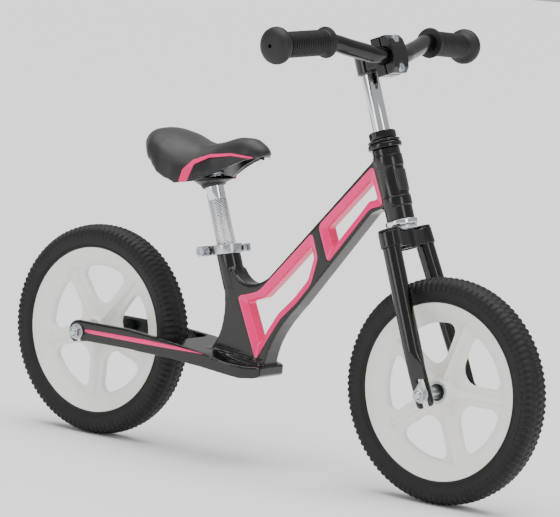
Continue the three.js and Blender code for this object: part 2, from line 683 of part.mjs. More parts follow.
function addStem() {
  const wedgeCut = (offset) => placed(
    block(-300, 300, -30, 30, 0, 300),
    new THREE.Matrix4().makeRotationY(rad(-35)).setPosition(0, 0, offset),
  );
  const quill = tube(POST_RADIUS, POST_RADIUS - 3.4, POST_BOTTOM - 12, POST_TOP, 28);
  add(headGroup, 'handlebar_post', quill.intersect(wedgeCut(POST_BOTTOM)), chrome());
  const wedge = cut(
    post(POST_RADIUS, POST_BOTTOM - 24, POST_BOTTOM + 12, 28),
    wedgeCut(POST_BOTTOM - GAP - 0.2),
    post(4.2, POST_BOTTOM - 40, POST_BOTTOM + 40, 16),
  );
  add(headGroup, 'expander_wedge', wedge, zincPlate());
  add(headGroup, 'expander_bolt', join(
    post(3.9, POST_BOTTOM - 22, COLLAR_TOP - 1, 16),
    post(6.5, COLLAR_TOP - 4.5, COLLAR_TOP + 2.5, 16),
  ), zincPlate());

  const collar = join(post(15, COLLAR_BOTTOM, COLLAR_TOP - 2, 28), post(13.5, COLLAR_BOTTOM, COLLAR_TOP, 28));
  const arm = block(0, STEM_REACH - 6, -13, 13, COLLAR_BOTTOM + 3, COLLAR_TOP - 4);
  const jaw = block(STEM_REACH - 15, STEM_REACH - 0.8, -16, 16, BAR_HEIGHT - 25, BAR_HEIGHT + 25);
  const barBore = pin(BAR_RADIUS + GAP, -40, 40, STEM_REACH, BAR_HEIGHT);
  const boltAt = (z, radius, from, to) => {
    const body = post(radius, from, to, 16);
    return body.rotate([0, 90, 0]).translate([0, 0, z]);
  };
  const boltZ = [BAR_HEIGHT + BOLT_SPREAD, BAR_HEIGHT - BOLT_SPREAD];
  add(headGroup, 'stem_clamp_body', cut(
    join(collar, arm, jaw),
    post(POST_RADIUS + GAP, 0, POST_TOP + GAP, 28),
    post(4.5, 0, COLLAR_TOP + 5, 16),
    post(7, COLLAR_TOP - 4.8, COLLAR_TOP + 5, 16),
    barBore,
    ...boltZ.map((z) => boltAt(z, 3.3, STEM_REACH - 12, STEM_REACH + 5)),
  ), blackPaint());
  const faceplate = slab(shapeOf([
    [0.8, -25], [9, -25], [14, -19], [16.5, -8], [16.5, 8], [14, 19], [9, 25], [0.8, 25],
  ]), -16, 16).translate([STEM_REACH, 0, BAR_HEIGHT]);
  const boltHole = (z) => join(
    boltAt(z, 3.3, STEM_REACH, STEM_REACH + 30),
    boltAt(z, 5.6, STEM_REACH + 9, STEM_REACH + 30),
  );
  add(headGroup, 'stem_faceplate', cut(faceplate, barBore, ...boltZ.map(boltHole)), blackPaint());
  ['upper', 'lower'].forEach((level, i) => {
    const bolt = join(
      boltAt(boltZ[i], 3, STEM_REACH - 11.5, STEM_REACH + 12),
      boltAt(boltZ[i], 5.2, STEM_REACH + 9 + GAP, STEM_REACH + 15),
    );
    const socket = boltAt(boltZ[i], 2.6, STEM_REACH + 12, STEM_REACH + 20);
    add(headGroup, `stem_bolt_${level}`, cut(bolt, socket), zincPlate());
  });
}

// Centre line of the bar: straight in the clamp, up and back, then nearly level at the grips.
const BAR_RISE = 20.5;
const BAR_SWEEP = 12.5;
const gripFrom = vec(STEM_REACH - BAR_SWEEP, GRIP_START, BAR_HEIGHT + BAR_RISE);
const gripTo = vec(STEM_REACH - 22.5, GRIP_START + GRIP_LENGTH, BAR_HEIGHT + 18);

function addHandlebar() {
  const toEnd = gripTo.clone().sub(gripFrom).normalize();
  const tip = gripTo.clone().addScaledVector(toEnd, -12);
  const half = [
    vec(STEM_REACH, 0, BAR_HEIGHT),
    vec(STEM_REACH, 28, BAR_HEIGHT),
    vec(STEM_REACH - 2.5, 46, BAR_HEIGHT + 4.5),
    vec(STEM_REACH - 7, 76, BAR_HEIGHT + 12.5),
    gripFrom.clone().addScaledVector(toEnd, -14),
    gripFrom,
    tip,
  ];
  const bends = [[0, 1], [1, 4], [4, 6]];
  const path = new THREE.CurvePath();
  const through = (points) => new THREE.CatmullRomCurve3(points, false, 'centripetal');
  const left = bends.map(([from, to]) => through(half.slice(from, to + 1)));
  const right = bends.map(([from, to]) => through(
    half.slice(from, to + 1).map((p) => vec(p.x, -p.y, p.z)).reverse(),
  )).reverse();
  for (const curve of [...right, ...left]) path.add(curve);
  const section = new THREE.Shape().absarc(0, 0, BAR_RADIUS, 0, 2 * Math.PI, false);
  section.holes.push(new THREE.Path().absarc(0, 0, BAR_RADIUS - BAR_WALL, 0, 2 * Math.PI, true));
  const options = { steps: 26, extrudePath: path, curveSegments: 5, bevelEnabled: false };
  add(headGroup, 'handlebar', solid(new THREE.ExtrudeGeometry(section, options)), blackPaint());

  const bore = BAR_RADIUS + GAP;
  const end = GRIP_LENGTH;
  const grip = turned([
    [bore, 0], [19.5, 0], [20, 3], [GRIP_RADIUS + 0.5, 6], [GRIP_RADIUS, end - 24],
    [KNOB_RADIUS - 3, end - 20], [KNOB_RADIUS, end - 15], [KNOB_RADIUS - 1.5, end - 7],
    [KNOB_RADIUS - 9, end - 1], [2.5, end], [2.5, end - 6], [bore, end - 9],
  ], 20);
  for (const [sign, side] of sides) {
    const turn = new THREE.Quaternion().setFromUnitVectors(vec(0, 0, 1), toEnd);
    const matrix = new THREE.Matrix4().makeRotationFromQuaternion(turn).setPosition(gripFrom);
    add(headGroup, `grip_${side}`, mirrored(placed(grip, matrix), -sign), blackFoam());
  }
}

// ---- seat clamp and post ------------------------------------------------------------------------
const COLLAR_INNER = SEAT_TUBE_RADIUS + GAP + collarMiddle * Math.tan(collarLean);
const COLLAR_OUTER = COLLAR_INNER + COLLAR_WALL;
const SKEWER_X = -COLLAR_OUTER - 5.5;
const SKEWER_Z = collarMiddle;
const EAR_HALF_WIDTH = 12;
const LEVER_PIVOT_Y = EAR_HALF_WIDTH + 7;

function addSeatClamp() {
  const band = join(
    post(COLLAR_OUTER, 0.2, COLLAR_HEIGHT, 32),
    block(SKEWER_X - 6, -COLLAR_INNER + 2, -EAR_HALF_WIDTH, EAR_HALF_WIDTH, 0.2, COLLAR_HEIGHT),
  );
  add(clampGroup, 'seat_clamp_collar', cut(
    band,
    post(COLLAR_INNER, -5, 20, 32),
    block(SKEWER_X - 10, -5, -1.5, 1.5, -5, 20),
    pin(3.1, -40, 40, SKEWER_X, SKEWER_Z),
  ), zincPlate());
  add(clampGroup, 'seat_clamp_washer', cut(
    pin(7, -EAR_HALF_WIDTH - 3, -EAR_HALF_WIDTH - GAP, SKEWER_X, SKEWER_Z),
    pin(3.1, -40, 40, SKEWER_X, SKEWER_Z),
  ), blackPlastic());
  const eye = block(-3.5, 3.5, LEVER_PIVOT_Y - 5, LEVER_PIVOT_Y + 3.5, -2.7, 2.7);
  add(clampGroup, 'seat_clamp_skewer', cut(
    join(
      pin(2.8, -EAR_HALF_WIDTH - 16, LEVER_PIVOT_Y - 4, SKEWER_X, SKEWER_Z),
      eye.translate([SKEWER_X, 0, SKEWER_Z]),
    ),
    post(2.2, -20, 40, 12).translate([SKEWER_X, LEVER_PIVOT_Y, 0]),
  ), zincPlate());
  const flutes = Array.from({ length: 8 }, (_, i) => (
    pin(1.6, -40, -EAR_HALF_WIDTH - 5, 7.6, 0, 8)
      .rotate([0, 45 * i, 0]).translate([SKEWER_X, 0, SKEWER_Z])
  ));
  add(clampGroup, 'seat_clamp_nut', cut(
    pin(7, -EAR_HALF_WIDTH - 17, -EAR_HALF_WIDTH - 3 - GAP, SKEWER_X, SKEWER_Z),
    pin(3.1, -40, 40, SKEWER_X, SKEWER_Z),
    ...flutes,
  ), zincPlate());
}

// Quick-release lever, closed round the left side of the collar.
function addClampLever() {
  const inner = COLLAR_OUTER + 2.2;
  const head = join(
    post(6.5, 1, COLLAR_HEIGHT - 1, 20).translate([SKEWER_X, LEVER_PIVOT_Y, 0]),
    block(SKEWER_X - 3, SKEWER_X + 12, LEVER_PIVOT_Y - 1, LEVER_PIVOT_Y + 6, 1.5, COLLAR_HEIGHT - 1.5),
  );
  const sweep = tube(inner + 4, inner, 1.5, COLLAR_HEIGHT - 1.5, 40);
  const sector = plate(shapeOf([[0, 0], [40, 26], [40, 60], [-40, 60], [-28, 32]]), 0, 30);
  const tip = block(10, 22, inner - 3.5, inner + 0.5, 1.5, COLLAR_HEIGHT - 1.5);
  const pivot = (radius, from, to, sides = 12) => (
    post(radius, from, to, sides).translate([SKEWER_X, LEVER_PIVOT_Y, 0])
  );
  const fork = pivot(7.4, SKEWER_Z - 3, SKEWER_Z + 3, 20);
  const grasp = join(head, sweep.intersect(sector), tip);
  const lever = cut(grasp, pivot(2.6, -5, 20), fork, post(inner, -5, 20, 40));
  add(clampGroup, 'seat_clamp_lever', lever, zincPlate());
  add(clampGroup, 'seat_clamp_lever_pin', pivot(2, 1, COLLAR_HEIGHT - 1), zincPlate());
}

const SEAT_POST_TOP = SEAT_POST_SHOWN + 18;

function addSeatPost() {
  const body = tube(SEAT_POST_RADIUS, SEAT_POST_RADIUS - 2, -SEAT_POST_INSERT, SEAT_POST_TOP, 28);
  add(seatGroup, 'seat_post', body, chrome());
}

// ---- saddle -------------------------------------------------------------------------------------
const PADDING = 9; // cover and foam, from the outer face to the plastic base
const BASE_WALL = 3;

// Stations from tail to nose: [share of the length, share of the half width, drop of the crest below
// the highest point, height of the flank].
const saddleStations = [
  [0, 0.3, 10, 17], [0.05, 0.6, 2, 26], [0.14, 0.86, 0, 40], [0.27, 1, 5, 54], [0.39, 0.97, 13, 56],
  [0.51, 0.79, 17, 48], [0.63, 0.56, 11, 43], [0.75, 0.41, 2, 40], [0.87, 0.35, 1, 30],
  [0.96, 0.24, 10, 16], [1, 0.1, 17, 6],
];

// Solid inside the saddle's outer face, shrunk by a margin; open puts its underside below the edge.
function saddleBody(margin, open) {
  const rings = saddleStations.map(([share, width, drop, flank]) => {
    const x = REAR_X + SADDLE_REAR_X + SADDLE_LENGTH / 2 + (share - 0.5) * (SADDLE_LENGTH - 2 * margin);
    const half = Math.max((width * SADDLE_WIDTH) / 2 - margin, 2);
    const crest = SADDLE_TOP - drop - margin;
    const edge = Math.min(SADDLE_TOP - drop - flank, crest - 3);
    const round = (c) => Math.sign(c) * Math.abs(c) ** 0.84;
    const arc = Array.from({ length: 11 }, (_, i) => {
      const angle = rad(90 - 18 * i);
      return vec(x, half * round(Math.sin(angle)), edge + (crest - edge) * round(Math.cos(angle)));
    });
    const under = edge - (open ? 30 : 0);
    return [...arc, vec(x, -half * 0.98, under - 0.2), vec(x, half * 0.98, under - 0.2)];
  });
  return loft(rings);
}

// Outline of the coloured side panel, seen from the side.
function stripeOutline() {
  const at = (share, drop) => new THREE.Vector2(
    REAR_X + SADDLE_REAR_X + share * SADDLE_LENGTH, SADDLE_TOP - drop,
  );
  const lower = [at(0.5, 72), at(0.54, 42), at(0.62, 32), at(0.77, 27), at(0.93, 28)];
  const upper = [at(0.93, 25), at(0.77, 23), at(0.62, 27), at(0.52, 36), at(0.47, 50), at(0.45, 72)];
  return new THREE.Shape([...lower, ...upper]);
}

// Round skirt from the post up to the underside of the base.
function bootBody(margin, from) {
  const count = 24;
  const centre = (along) => vec(0, 0, along).applyMatrix4(seatMatrix);
  const level = (along, radius, tilt) => Array.from({ length: count }, (_, i) => {
    const angle = (2 * Math.PI * i) / count;
    const x = (radius - margin) * Math.cos(angle);
    const rise = Math.tan(seatTilt) * x * tilt;
    return centre(along).add(vec(x, (radius - margin) * Math.sin(angle), rise));
  });
  const rings = [
    level(SEAT_POST_SHOWN, 15.2, 1), level(SEAT_POST_SHOWN + 4, 17, 0.8),
    level(SEAT_POST_SHOWN + 9, 26, 0.4), level(SEAT_POST_SHOWN + 15, 31, 0),
  ];
  return from ? loft([...rings.slice(from), level(SEAT_POST_SHOWN + 18, 42, 0)]) : loft(rings);
}

function addSaddle() {
  const outer = saddleBody(0, false);
  const cover = cut(outer, saddleBody(PADDING, true));
  add(bike, 'saddle_cover', cover, blackPlastic());
  const clampTop = SEAT_POST_TOP + 6;
  const boss = placed(post(15, clampTop + GAP, clampTop + 60, 20), seatMatrix);
  const inside = saddleBody(PADDING + GAP, false);
  const shell = cut(inside, saddleBody(PADDING + GAP + BASE_WALL, true));
  add(bike, 'saddle_base', join(shell, boss.intersect(inside)), blackPlastic());
  for (const [sign, side] of sides) {
    const strip = cut(
      saddleBody(-1.2, false).intersect(slab(stripeOutline(), -80, -8)),
      saddleBody(-GAP, false),
    );
    add(bike, `saddle_stripe_${side}`, mirrored(strip, sign), pinkVinyl());
  }
  const postHole = placed(post(SEAT_POST_RADIUS + GAP, 0, SEAT_POST_SHOWN + 30, 24), seatMatrix);
  add(bike, 'saddle_boot', cut(bootBody(0, 0), bootBody(2, 2), postHole), blackPlastic());
  add(seatGroup, 'saddle_clamp', cut(
    post(17, SEAT_POST_SHOWN + 14, clampTop, 24),
    post(SEAT_POST_RADIUS + GAP, 0, SEAT_POST_TOP + GAP, 24),
  ), zincPlate());
}

addFork();
addHeadset();
addStem();
addHandlebar();
addSeatClamp();
addClampLever();
addSeatPost();
addSaddle();
addWheel('rear', REAR_X, REAR_WHEEL_PHASE);
addWheel('front', FRONT_X, FRONT_WHEEL_PHASE);
addAxle('rear', REAR_X, STAY_OUTER - STAY_THICKNESS, STAY_OUTER, false);
const blade = BLADE_THICKNESS / 2;
addAxle('front', FRONT_X, LEG_BOTTOM_SPREAD - blade, LEG_BOTTOM_SPREAD + blade, true);
add(bike, 'frame_casting', frameCasting(), blackPaint());
add(headGroup, 'head_badge', headBadge(), blackPlastic());

export default bike;
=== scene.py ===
"""Looks of a toddler's balance bike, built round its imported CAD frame."""

from math import cos, pi, radians, sin

import bmesh
import bpy
from mathutils import Matrix, Vector


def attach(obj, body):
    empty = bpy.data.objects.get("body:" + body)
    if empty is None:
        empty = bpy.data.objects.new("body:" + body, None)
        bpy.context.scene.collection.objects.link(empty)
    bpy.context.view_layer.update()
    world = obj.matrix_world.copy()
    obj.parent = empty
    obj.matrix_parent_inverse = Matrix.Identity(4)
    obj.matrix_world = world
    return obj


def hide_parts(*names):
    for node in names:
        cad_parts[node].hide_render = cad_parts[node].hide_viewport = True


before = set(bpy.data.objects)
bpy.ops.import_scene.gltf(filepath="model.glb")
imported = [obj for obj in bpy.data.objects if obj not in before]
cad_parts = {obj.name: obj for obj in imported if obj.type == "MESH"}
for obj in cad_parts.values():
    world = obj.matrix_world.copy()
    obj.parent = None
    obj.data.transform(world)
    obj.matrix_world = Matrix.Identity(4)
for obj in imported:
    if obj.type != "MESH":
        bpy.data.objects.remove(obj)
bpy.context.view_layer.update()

bpy.ops.object.select_all(action="DESELECT")

MM = 0.001

# ---- camera -------------------------------------------------------------------------------------
# A long lens, a little above the axles and well forward of the bike's right side, held slightly
# tilted, so that the bike fills most of the width.
TARGET = Vector((0.0121, 0, 0.28035))
DISTANCE = 4.055
AZIMUTH = radians(37.22)  # from straight side on, towards the front wheel
ELEVATION = radians(6.66)
ROLL = radians(3.84)

backwards = Vector((sin(AZIMUTH) * cos(ELEVATION), -cos(AZIMUTH) * cos(ELEVATION), sin(ELEVATION)))
level = Vector((cos(AZIMUTH), sin(AZIMUTH), 0))
upright = backwards.cross(level)
across = level * cos(ROLL) + upright * sin(ROLL)
upwards = upright * cos(ROLL) - level * sin(ROLL)
camera = bpy.data.objects.new("camera", bpy.data.cameras.new("camera"))
camera.data.sensor_width = 36
camera.data.lens = 197.9
camera.data.clip_end = 50
camera.matrix_world = Matrix.Translation(TARGET + backwards * DISTANCE) @ Matrix(
    (across, upwards, backwards)).transposed().to_4x4()
bpy.context.scene.collection.objects.link(camera)
bpy.context.scene.camera = camera


# ---- studio -------------------------------------------------------------------------------------
# A pale painted floor under large soft boxes: one above, one on the bike's right side and one along
# its front, so that black gloss carries long soft highlights.
def linear(code):
    """An sRGB hex colour as linear RGBA."""
    channels = [int(code[i:i + 2], 16) / 255 for i in (1, 3, 5)]
    return (*[c / 12.92 if c <= 0.04045 else ((c + 0.055) / 1.055) ** 2.4 for c in channels], 1)


def new_material(name, colour, roughness, **sockets):
    """A material with its main shader's sockets set."""
    material = bpy.data.materials.new(name)
    material.use_nodes = True
    shader = material.node_tree.nodes["Principled BSDF"]
    values = {"Base Color": linear(colour), "Roughness": roughness}
    values.update({key.replace("_", " "): value for key, value in sockets.items()})
    for key, value in values.items():
        shader.inputs[key].default_value = value
    return material


def node(material, kind, inputs=(), feeds=None, output=0, **settings):
    """Adds a shader node. Its inputs are values or sockets; feeds names the main shader's socket."""
    made = material.node_tree.nodes.new("ShaderNode" + kind)
    for key, value in settings.items():
        setattr(made, key, value)
    for key, value in dict(inputs).items():
        if isinstance(value, bpy.types.NodeSocket):
            material.node_tree.links.new(value, made.inputs[key])
        else:
            made.inputs[key].default_value = value
    if feeds:
        shader = material.node_tree.nodes["Principled BSDF"]
        material.node_tree.links.new(made.outputs[output], shader.inputs[feeds])
    return made.outputs[output]


floor_paint = new_material("matt_floor_paint", "#F6F6F6", 0.9)
place = node(floor_paint, "TexCoord", output=3)
roller = node(floor_paint, "TexNoise", {"Vector": place, "Scale": 1 / (3 * MM), "Detail": 2.0})
node(floor_paint, "Bump", {"Height": roller, "Strength": 0.05, "Distance": 0.1 * MM}, "Normal")
bpy.ops.mesh.primitive_plane_add(size=40, location=(0, 0, 0))
floor = bpy.context.object
floor.name = "floor"
floor.data.materials.append(floor_paint)

world = bpy.data.worlds.new("studio")
world.use_nodes = True
world.node_tree.nodes["Background"].inputs["Color"].default_value = (1, 1, 1, 1)
world.node_tree.nodes["Background"].inputs["Strength"].default_value = 0.55
bpy.context.scene.world = world

bpy.ops.object.light_add(type="SUN", location=(0, 0, 3))
overhead = bpy.context.object
overhead.name = "overhead_light"
overhead.data.energy, overhead.data.angle = 3.6, radians(70)

middle = Vector((0, 0, 0.3))
for name, spot, width, height, power in (
        ("side_light", Vector((-0.6, -2.6, 1.2)), 0.9, 1.8, 16),
        ("front_light", Vector((3.0, -0.9, 1.3)), 0.8, 1.8, 16)):
    lamp = bpy.data.lights.new(name, "AREA")
    lamp.shape, lamp.size, lamp.size_y, lamp.energy = "RECTANGLE", width, height, power
    holder = bpy.data.objects.new(name, lamp)
    holder.location = spot
    holder.rotation_euler = (middle - spot).to_track_quat("-Z", "Y").to_euler()
    bpy.context.scene.collection.objects.link(holder)


# ---- frame casting ------------------------------------------------------------------------------
# One magnesium alloy casting: beam with two windows, footboard and two stays. Its edges are all well
# rounded. It is sprayed black and baked, and the sloping edges of the windows are masked magenta.

# Baked enamel: a deep gloss with the faint long ripple that sprayed paint sets with.
black_enamel = new_material("black_baked_enamel", "#020202", 0.2, Coat_Weight=0.1, Coat_Roughness=0.06)
place = node(black_enamel, "TexCoord", output=3)
peel = node(black_enamel, "TexNoise", {"Vector": place, "Scale": 1 / (4 * MM), "Detail": 2.0})
node(black_enamel, "Bump", {"Height": peel, "Strength": 0.1, "Distance": 0.1 * MM}, "Normal")
node(black_enamel, "MapRange", {"Value": peel, "To Min": 0.14, "To Max": 0.24}, "Roughness")

# The same enamel in magenta, a little lighter where it has run thin.
magenta_enamel = new_material("magenta_baked_enamel", "#F0177F", 0.25, Coat_Weight=0.3,
                              Coat_Roughness=0.1)
place = node(magenta_enamel, "TexCoord", output=3)
peel = node(magenta_enamel, "TexNoise", {"Vector": place, "Scale": 1 / (5 * MM), "Detail": 3.0})
node(magenta_enamel, "MixRGB", {"Fac": peel, "Color1": linear("#F0006C"), "Color2": linear("#FA0C7C")},
     "Base Color")
node(magenta_enamel, "Bump", {"Height": peel, "Strength": 0.1, "Distance": 0.1 * MM}, "Normal")


def activate(piece):
    """Makes a piece the only one selected."""
    bpy.ops.object.select_all(action="DESELECT")
    bpy.context.view_layer.objects.active = piece
    piece.select_set(True)


def apply_modifier(piece, kind, **settings):
    """Adds a modifier with its settings and applies it."""
    activate(piece)
    modifier = piece.modifiers.new(kind.lower(), kind)
    for key, value in settings.items():
        setattr(modifier, key, value)
    bpy.ops.object.modifier_apply(modifier=modifier.name)


def finish(piece, body, slot, *nodes, angle=35):
    """Smooth shading, and the body and CAD nodes that the piece belongs to. The record slot argument is
    not used.
    """
    activate(piece)
    bpy.ops.object.shade_smooth_by_angle(angle=radians(angle))
    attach(piece, body)
    if nodes:
        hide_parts(*nodes)


def merged(piece, distance=0.01 * MM, flatten=False, spin=0):
    """Merges a piece's doubles and turns its faces outwards, after spinning it about Z if asked."""
    work = bmesh.new()
    work.from_mesh(piece.data)
    if spin:
        bmesh.ops.spin(work, geom=work.verts[:] + work.edges[:], cent=(0, 0, 0), axis=(0, 0, 1),
                       angle=2 * pi, steps=spin, use_merge=True)
    bmesh.ops.remove_doubles(work, verts=work.verts[:], dist=distance)
    bmesh.ops.recalc_face_normals(work, faces=work.faces[:])
    if flatten:
        bmesh.ops.dissolve_limit(work, angle_limit=radians(1), verts=work.verts[:],
                                 edges=work.edges[:])
    work.to_mesh(piece.data)
    work.free()


def copy_of(cad_node, name, material):
    """A copy of a CAD node's mesh with its triangles joined into flat faces."""
    piece = bpy.data.objects.new(name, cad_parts[cad_node].data.copy())
    bpy.context.scene.collection.objects.link(piece)
    piece.data.materials.clear()
    piece.data.materials.append(material)
    merged(piece, 0.02 * MM, flatten=True)
    return piece


def mesh_piece(name, points, edges, faces, material):
    """A new piece from points in millimetres."""
    mesh = bpy.data.meshes.new(name)
    mesh.from_pydata([Vector(p) * MM for p in points], edges, faces)
    piece = bpy.data.objects.new(name, mesh)
    bpy.context.scene.collection.objects.link(piece)
    mesh.materials.append(material)
    return piece


def slab(name, outline, near, far, material):
    """An outline of (x, z) in millimetres extruded from y = near to y = far."""
    count = len(outline)
    points = [(x, y, z) for y in (near, far) for x, z in outline]
    faces = [tuple(range(count)), tuple(range(2 * count - 1, count - 1, -1))]
    faces += [(i, (i + 1) % count, count + (i + 1) % count, count + i) for i in range(count)]
    piece = mesh_piece(name, points, [], faces, material)
    merged(piece)
    return piece


def bevelled(piece, width, segments=2, limit=32):
    apply_modifier(piece, "BEVEL", width=width * MM, segments=segments, limit_method="ANGLE",
                   angle_limit=radians(limit), use_clamp_overlap=True)


def turned(name, profile, place, material, steps=72, edge=0.4):
    """A profile of (radius, height) in millimetres turned about the local Z axis of a place."""
    closing = [(len(profile) - 1, 0)] if profile[0][0] > 0 else []
    piece = mesh_piece(name, [(r, 0, h) for r, h in profile],
                       [(i, i + 1) for i in range(len(profile) - 1)] + closing, [], material)
    merged(piece, spin=steps)
    if edge:
        bevelled(piece, edge)
    piece.data.transform(place)
    return piece


def in_millimetres(x, y, z):
    return Matrix.Translation(Vector((x, y, z)) * MM)


REAR_X, FRONT_X, AXLE_Z = -288.5, 288.5, 145.0
HEAD = in_millimetres(201.727, 0, 353) @ Matrix.Rotation(radians(-20), 4, "Y")
SEAT = in_millimetres(-74.5, 0, 276) @ Matrix.Rotation(radians(-20), 4, "Y")
BEAM_FACE = 14.5  # from the bike's centre to the beam's side

casting = copy_of("frame_casting", "frame_casting_enamel", black_enamel)
window_side = bmesh.new()
window_side.from_mesh(casting.data)
sloped = [f for f in window_side.faces
          if abs(f.normal.y - 0.894) < 0.02 and 9 * MM < f.calc_center_median().y < BEAM_FACE * MM]
outlines = []
rim = {e for f in sloped for e in f.edges
       if all(abs(v.co.y - BEAM_FACE * MM) < 0.05 * MM for v in e.verts)}
while rim:
    first = rim.pop()
    chain = list(first.verts)
    for _ in range(2):  # forwards from the edge's end, then backwards from its start
        while following := next((e for e in rim if chain[-1] in e.verts), None):
            rim.remove(following)
            chain.append(following.other_vert(chain[-1]))
        chain.reverse()
    if chain[0] is chain[-1]:
        chain.pop()
    corners = []
    for vertex in chain:
        if not corners or min((vertex.co - c).length for c in corners) > 5 * MM:
            corners.append(vertex.co.copy())
    if len(corners) > 4:
        outlines.append([(c.x / MM, c.z / MM) for c in corners])
window_side.free()

apply_modifier(casting, "REMESH", mode="VOXEL", voxel_size=1.4 * MM)
apply_modifier(casting, "SMOOTH", factor=0.5, iterations=8)
beam_part = casting.vertex_groups.new(name="beam")
beam_part.add([v.index for v in casting.data.vertices
               if v.co.z > 160 * MM and abs(v.co.y) < 17 * MM], 1, "REPLACE")
apply_modifier(casting, "SMOOTH", factor=0.5, iterations=14, vertex_group="beam")

for number, outline in enumerate(outlines):
    mask = slab("window_mask", outline, -30, 30, magenta_enamel)
    corner_weights = mask.data.attributes.new("bevel_weight_edge", "FLOAT", "EDGE")
    for edge, weight in zip(mask.data.edges, corner_weights.data):
        ends = [mask.data.vertices[i].co for i in edge.vertices]
        weight.value = abs(ends[0].y - ends[1].y) > 50 * MM
    apply_modifier(mask, "BEVEL", width=6 * MM, segments=4, limit_method="WEIGHT")
    paint = bpy.data.objects.new(f"window_paint_{number}", casting.data.copy())
    bpy.context.scene.collection.objects.link(paint)
    paint.data.materials.clear()
    paint.data.materials.append(magenta_enamel)
    apply_modifier(paint, "BOOLEAN", operation="INTERSECT", object=mask, solver="EXACT")
    apply_modifier(paint, "DISPLACE", strength=0.15 * MM, mid_level=0)
    bpy.data.objects.remove(mask)
    finish(paint, "frame", "frame_paint", angle=50)
finish(casting, "frame", "frame_paint", "frame_casting", angle=60)

# The round tubes at both ends of the beam, with crisp ends. The head tube has two raised bands, and a
# plain badge plate on its front.
head_tube = turned("head_tube_enamel", [
    (15.1, 0.2), (17.4, 0.2), (18.15, 1), (18.15, 17), (19.3, 18), (19.3, 30), (18.15, 31),
    (18.15, 69), (19.3, 70), (19.3, 84), (18.15, 85), (18.15, 93.2), (17.4, 93.8), (15.1, 93.8),
], HEAD, black_enamel, steps=96)
finish(head_tube, "frame", "frame_paint")
seat_tube = turned("seat_tube_enamel", [
    (13.1, -40), (16.05, -46), (16.05, 9.2), (15.4, 9.9), (13.1, 9.9),
], SEAT, black_enamel, steps=96)
finish(seat_tube, "frame", "frame_paint")

badge_steel = new_material("satin_black_badge", "#141516", 0.4, Coat_Weight=0.2)
place = node(badge_steel, "TexCoord", output=3)
print_grain = node(badge_steel, "TexNoise", {"Vector": place, "Scale": 1 / (1 * MM), "Detail": 3.0})
node(badge_steel, "MapRange", {"Value": print_grain, "To Min": 0.34, "To Max": 0.46}, "Roughness")
badge = copy_of("head_badge", "head_badge_plate", badge_steel)
bevelled(badge, 0.3)
finish(badge, "frame", "black_plastic", "head_badge")

STAY_FACE = 51  # a stay's outer side to the bike's centre

# Magenta wedge on the outer side of each stay, masked and sprayed like the windows.
STRIPE = [  # (ahead of the rear axle, height)
          (14, 146.6), (14, 149.4), (24, 150.3), (120, 150.6), (175, 149.2), (224, 145.6),
          (160, 144.6), (100, 144.4), (24, 145.2)]
for side, turn in (("right", -1), ("left", 1)):
    stripe = slab(f"stay_stripe_{side}", [(REAR_X + x, z) for x, z in STRIPE],
                  turn * (STAY_FACE - 0.4), turn * (STAY_FACE + 0.15), magenta_enamel)
    bevelled(stripe, 0.1)
    finish(stripe, "frame", "frame_paint")


# ---- axles --------------------------------------------------------------------------------------
# A steel rod through each wheel with a spacer, washer and nut at each end, all zinc plated. The
# front washers have a tab that hooks into the fork blade.

# Bright zinc plating: grey metal with slightly cloudy patches.
zinc = new_material("bright_zinc_plate", "#B9C0C6", 0.3, Metallic=1.0)
place = node(zinc, "TexCoord", output=3)
cloud = node(zinc, "TexNoise", {"Vector": place, "Scale": 1 / (4 * MM), "Detail": 4.0})
node(zinc, "MapRange", {"Value": cloud, "To Min": 0.2, "To Max": 0.4}, "Roughness")
node(zinc, "MixRGB", {"Fac": cloud, "Color1": linear("#A6AEB5"), "Color2": linear("#D2D7DA")},
     "Base Color")

for end, body, x, blade_face in (("rear", "frame", REAR_X, STAY_FACE), ("front", "fork", FRONT_X, 52)):
    for side, turn in (("right", 1), ("left", -1)):
        outside = in_millimetres(x, 0, AXLE_Z) @ Matrix.Rotation(radians(90 * turn), 4, "X")
        for part, width in (("washer", 0.3), ("nut", 0.9), ("spacer", 0.4)):
            piece = copy_of(f"{end}_{part}_{side}", f"{end}_{part}_{side}_zinc", zinc)
            bevelled(piece, width, 3)
            finish(piece, body, "zinc_steel", f"{end}_{part}_{side}")
        nut_top = blade_face + 9.1
        collar = turned(f"{end}_nut_flange_{side}", [
            (5.2, blade_face + 1.9), (8.8, blade_face + 1.9), (8.6, blade_face + 3.2),
            (5.2, blade_face + 3.4),
        ], outside, zinc, edge=0)
        finish(collar, body, "zinc_steel")
        threads = [(0, nut_top - 6)]
        threads += [(4.9 if i % 2 else 4.45, nut_top - 6 + 0.5 * i) for i in range(17)]
        threads += [(3.6, nut_top + 2.5), (0, nut_top + 2.5)]
        tip = turned(f"{end}_axle_thread_{side}", threads, outside, zinc, steps=48, edge=0)
        finish(tip, body, "zinc_steel", angle=50)
    rod = turned(f"{end}_axle_rod", [(0, -blade_face), (4.5, -blade_face), (4.5, blade_face),
                                     (0, blade_face)],
                 in_millimetres(x, 0, AXLE_Z) @ Matrix.Rotation(radians(90), 4, "X"), zinc, steps=48)
    finish(rod, body, "zinc_steel", f"{end}_axle")


# ---- wheels -------------------------------------------------------------------------------------
# Each wheel is one nylon moulding: a rim channel, a flat web with five windows, five spokes with a
# rib on both faces, and a hub with a sealed bearing pressed into each side.

